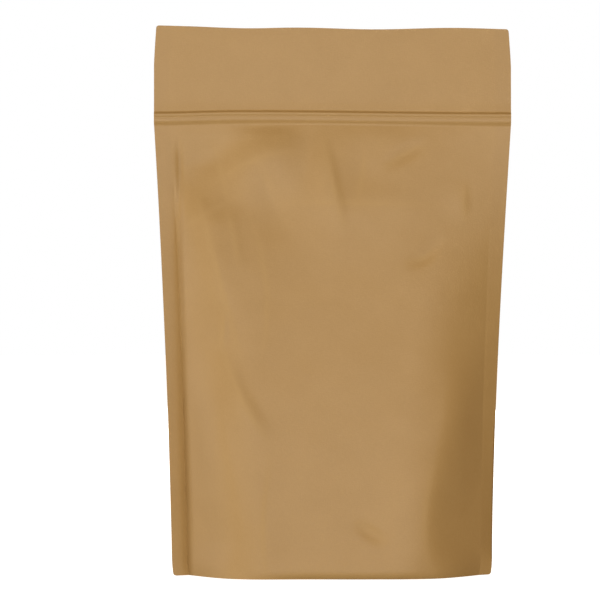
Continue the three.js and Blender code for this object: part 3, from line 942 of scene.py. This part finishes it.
def make_paper_film():
    """The one material of the pouch."""
    material = bpy.data.materials.new("kraft_paper_film")
    paper = Tree(material)
    place = paper.node("ShaderNodeTexCoord", {}, {}, "Object")
    across_fibre = speckle(paper, place, **ACROSS_FIBRES)
    along_fibre = speckle(paper, place, **ALONG_FIBRES)
    cloud = speckle(paper, place, **CLOUDS)
    fleck = speckle(paper, place, **FLECKS)
    worn = paper.signal("ShaderNodeAttribute", {"attribute_name": "worn"}, {}, "Fac")
    pressed = paper.signal("ShaderNodeAttribute", {"attribute_name": "pressed"}, {}, "Fac")

    body = paper.mix(CLOUD_DARKENS * cloud + ACROSS_DARKENS * across_fibre, PAPER, PAPER_DARK)
    fibres = paper.mix(ALONG_PALES * along_fibre, body, PAPER_PALE)
    flecked = paper.mix(FLECK_DARKENS * fleck, fibres, PAPER_DARK)
    rubbed = paper.mix(WEAR_PALES * worn, flecked, PAPER_PALE)
    colour = paper.mix(PRESS_DARKENS * pressed, rubbed, PAPER_DARK)
    roughened = PAPER_ROUGHNESS + ALONG_ROUGHENS * along_fibre + WEAR_ROUGHENS * worn
    roughness = roughened - PRESS_SMOOTHS * pressed
    grain = across_fibre + along_fibre + cloud
    bump_inputs = {"Strength": GRAIN_STRENGTH, "Distance": GRAIN_DEPTH, "Height": grain}
    bump = paper.node("ShaderNodeBump", {}, bump_inputs, "Normal")

    shader = paper.nodes["Principled BSDF"]
    paper.feed(shader.inputs["Base Color"], colour)
    paper.feed(shader.inputs["Roughness"], roughness)
    paper.feed(shader.inputs["Normal"], bump)
    return material


mesh.materials.append(make_paper_film())
print("paper film on", pouch.name)

# %% [markdown]
# ## Hand the film over to the frame
# The film takes the solid's place in the picture and moves with its body. The part has no joints, so there
# is one body, the root.

# %% Tie the film to the solid
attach(pouch, "root")
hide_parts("pouch")
print("pouch film rides on root")

# %% [markdown]
# ## Floor and sky
# The picture is a cut-out on pure white. A plain white floor would throw light back up and wash out the
# shadows of the pouch. So the floor is grey, and it glows white only where the camera sees it directly.

# %% Make the floor
FLOOR_HALF = 6.0
FLOOR_GREY = (0.5, 0.5, 0.5, 1)
FLOOR_ROUGHNESS = 0.9
FLOOR_GLOW = 1.0
WHITE = (1, 1, 1, 1)
BLACK = (0, 0, 0, 1)


def make_floor():
    """A wide grey square that glows white to the camera."""
    floor_mesh = bpy.data.meshes.new("floor")
    corners = [(-FLOOR_HALF, -FLOOR_HALF, 0), (FLOOR_HALF, -FLOOR_HALF, 0)]
    corners += [(FLOOR_HALF, FLOOR_HALF, 0), (-FLOOR_HALF, FLOOR_HALF, 0)]
    floor_mesh.from_pydata(corners, [], [(0, 1, 2, 3)])
    material = bpy.data.materials.new("white_table")
    table = Tree(material)
    seen = table.node("ShaderNodeLightPath", {}, {}, "Is Camera Ray")
    shader = table.nodes["Principled BSDF"]
    table.feed(shader.inputs["Base Color"], FLOOR_GREY)
    table.feed(shader.inputs["Roughness"], FLOOR_ROUGHNESS)
    table.feed(shader.inputs["Emission Color"], table.mix(seen, BLACK, WHITE))
    table.feed(shader.inputs["Emission Strength"], FLOOR_GLOW)
    floor_mesh.materials.append(material)
    floor = bpy.data.objects.new("floor", floor_mesh)
    scene.collection.objects.link(floor)
    return floor


make_floor()
print("floor", 2 * FLOOR_HALF, "m wide")

# %% [markdown]
# The sky fills the shadows from all round. A white one would flatten the form, so it too is white only to
# the camera, and to every other ray it is dim and warm.

# %% Make the sky
SKY_LIGHT = (0.23, 0.108, 0.006, 1)


def make_sky():
    """White to the camera, dim and warm as a light."""
    sky = bpy.data.worlds.new("sky")
    tree = Tree(sky)
    seen = tree.node("ShaderNodeLightPath", {}, {}, "Is Camera Ray")
    tree.feed(tree.nodes["Background"].inputs["Color"], tree.mix(seen, SKY_LIGHT, WHITE))
    return sky


scene.world = make_sky()
print("sky gives light of", SKY_LIGHT[:3])

# %% [markdown]
# ## Lamps
# A wide, low lamp behind the camera makes the front even and lets the right flank go dark where it turns
# away. A weaker and slightly cool one, low on the far left, keeps the left flank bright, and a third lights
# the back. One sun would be simpler, but soft lamps of some width give the slow change from face to flank.
# The Standard view shows the colours as they are lit, without a film curve. Lamps are in metres and watts.

# %% Hang the lamps
COOL_WHITE = (0.95, 0.96, 1, 1)
LAMP_TARGET = Vector((0, 0, 0.13))
Lamp = namedtuple("Lamp", "name place size power colour")
LAMPS = [
    Lamp("front_lamp", (0.0, -2.2, 0.15), (1.8, 0.28), 43.5, WHITE),
    Lamp("left_lamp", (-2.1, -0.37, 0.15), (1.0, 0.28), 18.8, COOL_WHITE),
    Lamp("back_lamp", (0.7, 2.1, 0.4), (1.6, 0.6), 45, WHITE),
]


def hang(lamp):
    """A soft lamp of some width and height that faces the pouch."""
    lamp_data = bpy.data.lights.new(lamp.name, "AREA")
    lamp_data.shape = "RECTANGLE"
    lamp_data.size, lamp_data.size_y = lamp.size
    lamp_data.energy = lamp.power
    lamp_data.color = lamp.colour[:3]
    hung = bpy.data.objects.new(lamp.name, lamp_data)
    hung.location = lamp.place
    hung.rotation_euler = (hung.location - LAMP_TARGET).to_track_quat("Z", "Y").to_euler()
    hung.visible_camera = False
    scene.collection.objects.link(hung)


for lamp in LAMPS:
    hang(lamp)
scene.view_settings.view_transform = "Standard"
print(len(LAMPS), "lamps of", sum(lamp.power for lamp in LAMPS), "W together")
